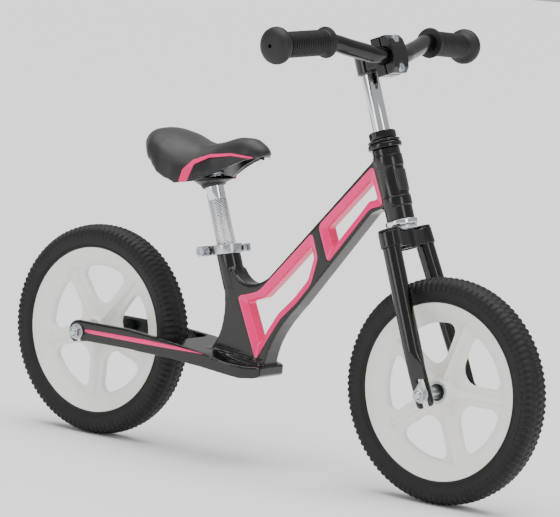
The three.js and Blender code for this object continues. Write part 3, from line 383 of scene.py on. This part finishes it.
# White nylon: satin, very slightly warm, with light passing a little way in.
nylon = new_material("white_nylon", "#F4F3EC", 0.42, IOR=1.53, Subsurface_Weight=0.15,
                     Subsurface_Scale=3 * MM)
place = node(nylon, "TexCoord", output=3)
flow = node(nylon, "TexNoise", {"Vector": place, "Scale": 1 / (18 * MM), "Detail": 4.0})
node(nylon, "MixRGB", {"Fac": flow, "Color1": linear("#F6F5EF"), "Color2": linear("#EFEDE3")},
     "Base Color")
grain = node(nylon, "TexNoise", {"Vector": place, "Scale": 1 / (1.2 * MM), "Detail": 3.0})
node(nylon, "MapRange", {"Value": grain, "To Min": 0.36, "To Max": 0.5}, "Roughness")
node(nylon, "Bump", {"Height": grain, "Strength": 0.12, "Distance": 0.1 * MM}, "Normal")

# Moulded black polypropylene: semi-gloss over a fine spark-eroded grain.
black_plastic = new_material("black_polypropylene", "#040405", 0.34, IOR=1.49)
place = node(black_plastic, "TexCoord", output=3)
grain = node(black_plastic, "TexNoise", {"Vector": place, "Scale": 1 / (0.9 * MM), "Detail": 3.0})
node(black_plastic, "Bump", {"Height": grain, "Strength": 0.15, "Distance": 0.1 * MM}, "Normal")
node(black_plastic, "MapRange", {"Value": grain, "To Min": 0.28, "To Max": 0.42}, "Roughness")

# Closed-cell EVA foam: matt, with a fine open skin and slightly greyer high spots.
eva_foam = new_material("black_eva_foam", "#060606", 0.62, IOR=1.45)
place = node(eva_foam, "TexCoord", output=3)
cells = node(eva_foam, "TexVoronoi", {"Vector": place, "Scale": 1 / (0.9 * MM)})
wear = node(eva_foam, "TexNoise", {"Vector": place, "Scale": 1 / (14 * MM), "Detail": 5.0})
node(eva_foam, "Bump", {"Height": cells, "Strength": 0.25, "Distance": 0.15 * MM}, "Normal")
node(eva_foam, "MapRange", {"Value": wear, "To Min": 0.5, "To Max": 0.72}, "Roughness")
node(eva_foam, "MixRGB", {"Fac": wear, "Color1": linear("#030303"), "Color2": linear("#0B0B0C")},
     "Base Color")

TO_Y = Matrix.Rotation(radians(-90), 4, "X")  # a turned piece's axis laid along +Y
SPOKES = 5


def arc(x, z, radius, start, stop, steps):
    return [(x + radius * cos(start + (stop - start) * i / steps),
             z + radius * sin(start + (stop - start) * i / steps)) for i in range(steps + 1)]


def window_points():
    """Outline of one wheel window, pointing along local X."""
    half = pi / SPOKES
    spoke, inner, outer, corner = 11, 23, 90, 13
    middle_x = (spoke + inner) / sin(half)
    reach = outer - corner
    turn = half - (spoke + corner) / reach
    turn_x, turn_z = reach * cos(turn), reach * sin(turn)
    points = arc(middle_x, 0, inner, pi / 2 + half, 3 * pi / 2 - half, 14)
    points += arc(turn_x, -turn_z, corner, -pi / 2 - half, -turn, 8)
    points += arc(0, 0, outer, -turn, turn, 14)[1:-1]
    points += arc(turn_x, turn_z, corner, turn, pi / 2 + half, 8)
    return points


def wheel_web(name, phase):
    """Flat web as a filled outline with five openings and rounded edges, in the XZ plane."""
    curve = bpy.data.curves.new(name, "CURVE")
    curve.dimensions = "2D"
    curve.fill_mode = "BOTH"
    curve.extrude, curve.bevel_depth, curve.bevel_resolution = 3.4 * MM, 1.6 * MM, 3
    rings = [arc(0, 0, 92.5, 0, 2 * pi, 120)[:-1]]
    for i in range(SPOKES):
        lean = radians(phase + 360 / SPOKES * (i + 0.5))
        rings.append([(x * cos(lean) - z * sin(lean), x * sin(lean) + z * cos(lean))
                      for x, z in window_points()])
    for ring in rings:
        spline = curve.splines.new("POLY")
        spline.points.add(len(ring) - 1)
        for point, (x, z) in zip(spline.points, ring):
            point.co = (x * MM, z * MM, 0, 1)
        spline.use_cyclic_u = True
    shape = bpy.data.objects.new(name, curve)
    bpy.context.scene.collection.objects.link(shape)
    activate(shape)
    bpy.ops.object.convert(target="MESH")
    web = bpy.context.object
    web.data.transform(Matrix.Rotation(radians(90), 4, "X"))
    web.data.materials.append(nylon)
    return web


def spoke_rib(name, lean):
    """A wedge that falls from the hub to the rim on both faces of a spoke."""
    stations = ((13, 10.5, 17), (22, 9.5, 15.6), (45, 7.5, 12.8), (75, 6, 10), (104, 4.6, 8))
    points, faces = [], []
    for x, half, high in stations:
        points += [(x, -high, -1.3), (x, -high, 1.3), (x, -5, half * 0.72), (x, 0, half),
                   (x, 5, half * 0.72), (x, high, 1.3), (x, high, -1.3), (x, 5, -half * 0.72),
                   (x, 0, -half), (x, -5, -half * 0.72)]
    for s in range(len(stations) - 1):
        for i in range(10):
            a, b = 10 * s + i, 10 * s + (i + 1) % 10
            faces.append((a, b, b + 10, a + 10))
    faces += [tuple(range(9, -1, -1)), tuple(range(len(points) - 10, len(points)))]
    rib = mesh_piece(name, points, [], faces, nylon)
    merged(rib)
    apply_modifier(rib, "SUBSURF", levels=2, render_levels=2)
    rib.data.transform(Matrix.Rotation(-lean, 4, "Y"))
    return rib


def joined(name, pieces):
    activate(pieces[0])
    for piece in pieces:
        piece.select_set(True)
    bpy.ops.object.join()
    pieces[0].name = name
    return pieces[0]


RIM_PROFILE = [
    (88, -4.4), (90, -5), (96, -6.2), (100, -7.6), (106.5, -10.8), (111, -13.6), (112.6, -15.6),
    (113.5, -16), (113.9, -15.2), (113.9, -13), (107, -9), (107, 9), (113.9, 13), (113.9, 15.2),
    (113.5, 16), (112.6, 15.6), (111, 13.6), (106.5, 10.8), (100, 7.6), (96, 6.2), (90, 5), (88, 4.4),
]
HUB_PROFILE = [
    (13.2, -10), (13.2, -18), (13.9, -18.5), (15.6, -18.5), (16.4, -17.8), (19.6, -3), (19.6, 3),
    (16.4, 17.8), (15.6, 18.5), (13.9, 18.5), (13.2, 18), (13.2, 10),
]
LUGS = 108  # 8.4 mm apart round the tread
LUG_STEPS = 4  # two steps raised, two low
TREAD_STEPS = LUGS * LUG_STEPS
TYRE_PROFILE = [
    (107.3, 9.6), (113.8, 13), (113.8, 17.6), (115.4, 19), (117.5, 18.6), (119, 19.8), (123, 20.8),
    (128, 21.4), (129, 21.5), (129.6, 21.9), (134, 21.9), (138, 20.6), (138.6, 20.2), (141, 17.5),
    (142.3, 15), (142.9, 14), (144, 10.5), (144.2, 9.8), (144.7, 6.4), (144.8, 5.6), (145, 3), (145, 1),
]


def groove(band, step):
    """How far the tread lies below the profile at a band, counted from the bead, and a step."""
    if band in (15, 18, 19):
        return 1.8 if band == 15 else 1.5
    depth = {16: 1.6, 17: 1.6}.get(band, 1.9 if 9 <= band <= 14 else 1.5 if band >= 20 else 0)
    shifted = step + LUG_STEPS // 2 if band >= 20 else step  # the centre row sits between the lugs
    return depth if shifted % LUG_STEPS >= LUG_STEPS // 2 else 0


def tyre(name):
    """Tyre with two rows of lugs on each shoulder and a row of blocks in the middle."""
    whole = TYRE_PROFILE + [(r, -w) for r, w in reversed(TYRE_PROFILE)]
    count = len(whole)
    points, faces = [], []
    for step in range(TREAD_STEPS):
        angle = 2 * pi * step / TREAD_STEPS
        for number, (radius, width) in enumerate(whole):
            band = min(number, count - 1 - number)
            low = groove(band, step)
            inwards = low * 0.55 if 9 <= band <= 12 else 0  # the shoulder is cut from its side too
            side = 1 if width > 0 else -1
            points.append(((radius - low) * cos(angle), (abs(width) - inwards) * side,
                           (radius - low) * sin(angle)))
        ahead = (step + 1) % TREAD_STEPS
        for i in range(count):
            j = (i + 1) % count
            faces.append((step * count + i, step * count + j, ahead * count + j, ahead * count + i))
    piece = mesh_piece(name, points, [], faces, eva_foam)
    merged(piece)
    return piece


for end, body, x, phase in (("front", "front_wheel", FRONT_X, 0), ("rear", "rear_wheel", REAR_X, 52)):
    axle = in_millimetres(x, 0, AXLE_Z)
    ribs = [spoke_rib(f"{end}_rib", radians(phase + 72 * i)) for i in range(SPOKES)]
    moulding = joined(f"{end}_wheel_nylon", [
        wheel_web(f"{end}_web", phase), *ribs,
        turned(f"{end}_rim", RIM_PROFILE, TO_Y, nylon, steps=144, edge=0),
        turned(f"{end}_hub", HUB_PROFILE, TO_Y, nylon, edge=0),
    ])
    moulding.data.transform(axle)
    finish(moulding, body, "white_nylon", f"{end}_wheel", angle=40)
    rubber = tyre(f"{end}_tyre_foam")
    rubber.data.transform(axle)
    finish(rubber, body, "foam_tyre", f"{end}_tyre", angle=30)
    for side, turn in (("right", 1), ("left", -1)):
        outside = axle @ Matrix.Rotation(radians(90 * turn), 4, "X")
        shell = turned(f"{end}_bearing_shell_{side}", [
            (5.2, 10.6), (12.9, 10.6), (12.9, 18.2), (12.5, 18.5), (11.2, 18.5), (11, 17.9),
            (7.4, 17.9), (7.2, 18.5), (5.6, 18.5), (5.2, 18.2)], outside, zinc, edge=0)
        seal = turned(f"{end}_bearing_seal_{side}", [
            (7.3, 17.6), (11.1, 17.6), (11.1, 18.1), (9.2, 18.3), (7.3, 18.1)], outside,
            black_plastic, edge=0)
        finish(shell, body, "zinc_steel", f"{end}_bearing_{side}")
        finish(seal, body, "black_plastic")


# ---- fork ---------------------------------------------------------------------------------------
# Two straight steel tubes pressed flat at the axle, pushed into a forged crown, with a plastic cap
# in the top of each. Crown and legs are sprayed black together.
crown = copy_of("fork_crown", "fork_crown_enamel", black_enamel)
apply_modifier(crown, "REMESH", mode="VOXEL", voxel_size=0.8 * MM)
apply_modifier(crown, "SMOOTH", factor=0.5, iterations=8)
finish(crown, "fork", "black_paint", "fork_crown", angle=60)
for side in ("right", "left"):
    leg = copy_of(f"fork_leg_{side}", f"fork_leg_{side}_enamel", black_enamel)
    apply_modifier(leg, "REMESH", mode="VOXEL", voxel_size=0.8 * MM)
    apply_modifier(leg, "SMOOTH", factor=0.5, iterations=8)
    finish(leg, "fork", "black_paint", f"fork_leg_{side}", angle=60)
    cap = copy_of(f"fork_cap_{side}", f"fork_cap_{side}_moulding", black_plastic)
    apply_modifier(cap, "REMESH", mode="VOXEL", voxel_size=0.6 * MM)
    apply_modifier(cap, "SMOOTH", factor=0.5, iterations=6)
    finish(cap, "fork", "black_plastic", f"fork_cap_{side}", angle=60)
steerer = turned("steerer_tube_steel", [(11.5, -36), (12.6, -36), (12.6, 115), (11.5, 115)],
                 HEAD, zinc)
finish(steerer, "fork", "zinc_steel", "steerer_tube")


# ---- headset ------------------------------------------------------------------------------------
# Pressed steel cups and races round rings of balls. The lower cup is chromed, the upper parts are
# black, and a six-sided nut locks the stack.

# Decorative chrome over nickel: nearly a mirror, with the faint draw marks of the steel under it.
chrome = new_material("decorative_chrome", "#DADDE0", 0.07, Metallic=1.0)
place = node(chrome, "TexCoord", output=3)
marks = node(chrome, "TexNoise", {"Vector": place, "Scale": 1 / (12 * MM), "Detail": 3.0})
node(chrome, "MapRange", {"Value": marks, "To Min": 0.04, "To Max": 0.12}, "Roughness")

UPSIDE_DOWN = HEAD @ Matrix.Rotation(pi, 4, "X")
OVER_TUBE = HEAD @ in_millimetres(0, 0, 94)


def cup(flange):
    return [(13.5, -8), (14.7, -8), (14.7, 0.2), (flange - 0.8, 0.2), (flange, 0.9), (flange, 5.6),
            (flange - 0.5, 6.8), (flange - 1.7, 7.4), (18, 7.5), (17.4, 3.5), (13.5, 3.5)]


for name, cad_node, profile, place, material, slot, body in (
        ("upper_cup_steel", "headset_upper_cup", cup(22), OVER_TUBE, black_enamel, "black_paint",
         "frame"),
        ("lower_cup_steel", "headset_lower_cup", cup(21), UPSIDE_DOWN, chrome, "chrome", "frame"),
        ("upper_race_steel", "headset_upper_race",
         [(13, 6.9), (17, 6.9), (17, 8.3), (20.4, 8.3), (21, 9), (21, 10.6), (20.4, 11.3), (16, 13),
          (13, 13)],
         OVER_TUBE, black_enamel, "black_paint", "fork"),
        ("crown_race_steel", "headset_crown_race",
         [(13, 6.9), (17, 6.9), (17, 8.3), (18.6, 8.3), (19, 8.8), (18, 13), (13, 13)],
         UPSIDE_DOWN, zinc, "zinc_steel", "fork")):
    piece = turned(name, profile, place, material, steps=96, edge=0.25)
    finish(piece, body, slot, cad_node)
for level, place in (("upper", OVER_TUBE), ("lower", UPSIDE_DOWN)):
    bpy.ops.object.select_all(action="DESELECT")
    balls = []
    for i in range(20):
        bpy.ops.mesh.primitive_uv_sphere_add(segments=12, ring_count=8, radius=1.3 * MM, location=(
            15.6 * MM * cos(pi * i / 10), 15.6 * MM * sin(pi * i / 10), 5.2 * MM))
        balls.append(bpy.context.object)
    ring = joined(f"{level}_balls", balls)
    activate(ring)
    bpy.ops.object.transform_apply(location=True, rotation=True, scale=True)
    ring.data.transform(place)
    ring.data.materials.append(zinc)
    finish(ring, "frame", "zinc_steel", f"headset_{level}_bearing", angle=60)
locknut = copy_of("headset_locknut", "locknut_enamel", black_enamel)
bevelled(locknut, 0.6, 3)
finish(locknut, "fork", "black_paint", "headset_locknut")


# ---- stem ---------------------------------------------------------------------------------------
# A chromed quill post in the steerer tube, held by a wedge and a long bolt, under a forged black
# clamp whose faceplate is drawn down by two bolts with hexagon sockets.
quill = turned("quill_post_chrome", [(7.7, 42), (11.1, 42), (11.1, 214.8), (7.7, 214.8)],
               HEAD, chrome, steps=96)
finish(quill, "stem", "chrome", "handlebar_post")
for cad_node, name, material, slot, width in (
        ("expander_wedge", "expander_wedge_zinc", zinc, "zinc_steel", 0.3),
        ("expander_bolt", "expander_bolt_zinc", zinc, "zinc_steel", 0.5),
        ("stem_bolt_upper", "stem_bolt_upper_zinc", zinc, "zinc_steel", 0.4),
        ("stem_bolt_lower", "stem_bolt_lower_zinc", zinc, "zinc_steel", 0.4)):
    piece = copy_of(cad_node, name, material)
    bevelled(piece, width)
    finish(piece, "stem", slot, cad_node)
for cad_node in ("stem_clamp_body", "stem_faceplate"):
    piece = copy_of(cad_node, cad_node + "_enamel", black_enamel)
    apply_modifier(piece, "REMESH", mode="VOXEL", voxel_size=0.6 * MM)
    apply_modifier(piece, "SMOOTH", factor=0.5, iterations=10)
    finish(piece, "stem", "black_paint", cad_node, angle=60)


# ---- handlebar ----------------------------------------------------------------------------------
# One black steel tube: straight in the clamp, bent up and back, then straight again in the grips.
half_bar = [(38, 0, 207.5), (38, 24, 207.5), (37.4, 34, 208.6), (35.5, 46, 212), (31, 76, 220),
            (27, 100, 227), (25.5, 112, 228), (22.9, 139, 227.4), (17, 203, 225.8)]
curve = bpy.data.curves.new("handlebar_tube", "CURVE")
curve.dimensions = "3D"
curve.bevel_depth, curve.bevel_resolution, curve.resolution_u = 11.1 * MM, 10, 10
spline = curve.splines.new("BEZIER")
whole_bar = [(x, -y, z) for x, y, z in reversed(half_bar)] + half_bar[1:]
spline.bezier_points.add(len(whole_bar) - 1)
for knot, point in zip(spline.bezier_points, whole_bar):
    knot.co = Vector(point) * MM
    knot.handle_left_type = knot.handle_right_type = "AUTO"
bar = bpy.data.objects.new("handlebar_tube", curve)
bpy.context.scene.collection.objects.link(bar)
activate(bar)
bpy.ops.object.convert(target="MESH")
bar = bpy.context.object
bar.data.transform(HEAD)
bar.data.materials.append(black_enamel)
merged(bar)
finish(bar, "handlebar", "black_paint", "handlebar", angle=50)

# Soft grips moulded in one with an inner flange, fine ribs and a domed knob with a vent hole.
grip_rubber = new_material("black_thermoplastic_rubber", "#050505", 0.55, IOR=1.5)
place = node(grip_rubber, "TexCoord", output=3)
skin = node(grip_rubber, "TexNoise", {"Vector": place, "Scale": 1 / (1.1 * MM), "Detail": 4.0})
node(grip_rubber, "Bump", {"Height": skin, "Strength": 0.2, "Distance": 0.1 * MM}, "Normal")
node(grip_rubber, "MapRange", {"Value": skin, "To Min": 0.46, "To Max": 0.64}, "Roughness")

profile = [(11.4, 0), (18.6, 0), (19.7, 0.8), (20, 2), (19.7, 3.4), (18.6, 4.6), (16.9, 5.6), (16.5, 7)]
RIB_PITCH = 3.2
for i in range(22):
    start = 9 + RIB_PITCH * i
    profile += [(16.4, start), (16.4, start + 1.7), (15.3, start + 2.1), (15.3, start + 2.8)]
profile += [(16, 82), (17.5, 84.4), (21, 86.6), (22.8, 89), (23.5, 92), (23.3, 95.5), (22, 99),
            (19.4, 102.2), (15, 104.6), (9, 105.8), (3.2, 106), (2.5, 105.4), (2.5, 100), (11.4, 97)]
along = (Vector((15.5, 218, 225.5)) - Vector((25.5, 112, 228))).normalized()
for side, turn in (("left", 1), ("right", -1)):
    direction = Vector((along.x, turn * along.y, along.z))
    place = HEAD @ in_millimetres(25.5, turn * 112, 228) @ Vector((0, 0, 1)).rotation_difference(
        direction).to_matrix().to_4x4()
    grip = turned(f"grip_{side}_rubber", profile, place, grip_rubber, steps=64, edge=0)
    finish(grip, "handlebar", "grip_foam", f"grip_{side}", angle=30)


# ---- seat clamp ---------------------------------------------------------------------------------
# A zinc-plated steel collar with a quick-release lever on the left and a finned nut on the right.
for cad_node, body, material, slot, width in (
        ("seat_clamp_collar", "frame", zinc, "zinc_steel", 0.6),
        ("seat_clamp_skewer", "frame", zinc, "zinc_steel", 0.3),
        ("seat_clamp_nut", "frame", zinc, "zinc_steel", 0.3),
        ("seat_clamp_lever_pin", "frame", zinc, "zinc_steel", 0.3),
        ("seat_clamp_washer", "frame", black_plastic, "black_plastic", 0.3),
        ("seat_clamp_lever", "clamp_lever", zinc, "zinc_steel", 0.6)):
    piece = copy_of(cad_node, cad_node + "_finished", material)
    bevelled(piece, width, 3)
    finish(piece, body, slot, cad_node)


# ---- seat post ----------------------------------------------------------------------------------
# Chromed steel tube. Its lower length is rolled with a fine diamond pattern so that the collar
# grips it; the rest is plain.
knurled_chrome = new_material("knurled_chrome", "#D2D6D9", 0.12, Metallic=1.0)
place = node(knurled_chrome, "TexCoord", output=3)
upright_post = node(knurled_chrome, "Mapping", {
    "Vector": place, "Location": (-74.5 * MM, 0, 276 * MM), "Rotation": (0, radians(-20), 0)},
    vector_type="TEXTURE")
parts = knurled_chrome.node_tree.nodes.new("ShaderNodeSeparateXYZ")
knurled_chrome.node_tree.links.new(upright_post, parts.inputs[0])
around = node(knurled_chrome, "Math", {0: parts.outputs["Y"], 1: parts.outputs["X"]},
              operation="ARCTAN2")
fast_turn = node(knurled_chrome, "Math", {0: around, 1: 22.0}, operation="MULTIPLY")
climb = node(knurled_chrome, "Math", {0: parts.outputs["Z"], 1: 2 * pi / (3.6 * MM)},
             operation="MULTIPLY")
waves = []
for kind in ("ADD", "SUBTRACT"):
    helix = node(knurled_chrome, "Math", {0: fast_turn, 1: climb}, operation=kind)
    waves.append(node(knurled_chrome, "Math", {0: helix}, operation="SINE"))
diamond = node(knurled_chrome, "Math", {0: waves[0], 1: waves[1]}, operation="MAXIMUM")
node(knurled_chrome, "Bump", {"Height": diamond, "Strength": 0.9, "Distance": 0.35 * MM}, "Normal")
node(knurled_chrome, "MapRange", {"Value": diamond, "From Min": -1.0, "To Min": 0.3, "To Max": 0.1},
     "Roughness")

KNURL_TOP = 74
post = turned("seat_post_chrome", [(10.7, KNURL_TOP), (12.7, KNURL_TOP), (12.7, 110), (10.7, 110)],
              SEAT, chrome, steps=96, edge=0.2)
finish(post, "saddle", "chrome", "seat_post")
knurl = turned("seat_post_knurl", [(10.7, -88), (12.7, -88), (12.7, KNURL_TOP + 0.1),
                                   (10.7, KNURL_TOP + 0.1)], SEAT, knurled_chrome, steps=96, edge=0.2)
finish(knurl, "saddle", "chrome")


# ---- saddle -------------------------------------------------------------------------------------
# Moulded plastic base, soft foam under a stretched vinyl cover that is glued round the edge, and a
# black rubber boot that hides the clamp. A magenta vinyl strip curves along each flank.

# Black PVC leathercloth: satin, with a shallow pebble grain about a millimetre across.
black_vinyl = new_material("black_leathercloth", "#0B0B0D", 0.45, IOR=1.5, Sheen_Weight=0.08)
place = node(black_vinyl, "TexCoord", output=3)
pebble = node(black_vinyl, "TexVoronoi", {"Vector": place, "Scale": 1 / (1.3 * MM)})
node(black_vinyl, "Bump", {"Height": pebble, "Strength": 0.22, "Distance": 0.15 * MM}, "Normal")
stretch = node(black_vinyl, "TexNoise", {"Vector": place, "Scale": 1 / (22 * MM), "Detail": 4.0})
node(black_vinyl, "MapRange", {"Value": stretch, "To Min": 0.38, "To Max": 0.52}, "Roughness")
node(black_vinyl, "MixRGB", {"Fac": stretch, "Color1": linear("#08080A"), "Color2": linear("#101014")},
     "Base Color")

# The same cloth in magenta, with its grain pressed a little flatter.
magenta_vinyl = new_material("magenta_leathercloth", "#E02A77", 0.42, IOR=1.5, Sheen_Weight=0.05)
place = node(magenta_vinyl, "TexCoord", output=3)
pebble = node(magenta_vinyl, "TexVoronoi", {"Vector": place, "Scale": 1 / (1.3 * MM)})
node(magenta_vinyl, "Bump", {"Height": pebble, "Strength": 0.15, "Distance": 0.12 * MM}, "Normal")
stretch = node(magenta_vinyl, "TexNoise", {"Vector": place, "Scale": 1 / (15 * MM), "Detail": 3.0})
node(magenta_vinyl, "MixRGB", {"Fac": stretch, "Color1": linear("#E20A62"), "Color2": linear("#F01C72")},
     "Base Color")

cover = copy_of("saddle_cover", "saddle_cover_vinyl", black_vinyl)
apply_modifier(cover, "REMESH", mode="VOXEL", voxel_size=3.2 * MM)
apply_modifier(cover, "SMOOTH", factor=0.5, iterations=8)
apply_modifier(cover, "DISPLACE", strength=-0.6 * MM, mid_level=0)
before = [v.co.copy() for v in cover.data.vertices]
activate(cover)
cloth = cover.modifiers.new("cloth", "CLOTH")
cloth.settings.use_pressure = True
cloth.settings.uniform_pressure_force = 3
cloth.settings.effector_weights.gravity = 0
cloth.settings.tension_stiffness = cloth.settings.compression_stiffness = 40
for step in range(1, 15):
    bpy.context.scene.frame_set(step)
bpy.ops.object.modifier_apply(modifier=cloth.name)
bpy.context.scene.frame_set(1)
MOST = 1.6 * MM  # foam under a glued cover swells only this far
for vertex, start in zip(cover.data.vertices, before):
    step = vertex.co - start
    if step.length > MOST:
        vertex.co = start + step * (MOST / step.length)
apply_modifier(cover, "SMOOTH", factor=0.5, iterations=4)
apply_modifier(cover, "SUBSURF", levels=1, render_levels=1)
finish(cover, "saddle", "black_vinyl", "saddle_cover", angle=60)

base = copy_of("saddle_base", "saddle_base_moulding", black_plastic)
bevelled(base, 0.3)
finish(base, "saddle", "black_plastic", "saddle_base", angle=50)
boot = copy_of("saddle_boot", "saddle_boot_rubber", black_plastic)
apply_modifier(boot, "REMESH", mode="VOXEL", voxel_size=0.9 * MM)
apply_modifier(boot, "SMOOTH", factor=0.5, iterations=10)
finish(boot, "saddle", "black_plastic", "saddle_boot", angle=60)
clamp = copy_of("saddle_clamp", "saddle_clamp_zinc", zinc)
bevelled(clamp, 0.8, 3)
finish(clamp, "saddle", "zinc_steel", "saddle_clamp")
for side in ("right", "left"):
    strip = copy_of(f"saddle_stripe_{side}", f"saddle_stripe_{side}_vinyl", magenta_vinyl)
    apply_modifier(strip, "REMESH", mode="VOXEL", voxel_size=0.5 * MM)
    apply_modifier(strip, "SMOOTH", factor=0.5, iterations=6)
    finish(strip, "saddle", "pink_vinyl", f"saddle_stripe_{side}", angle=60)
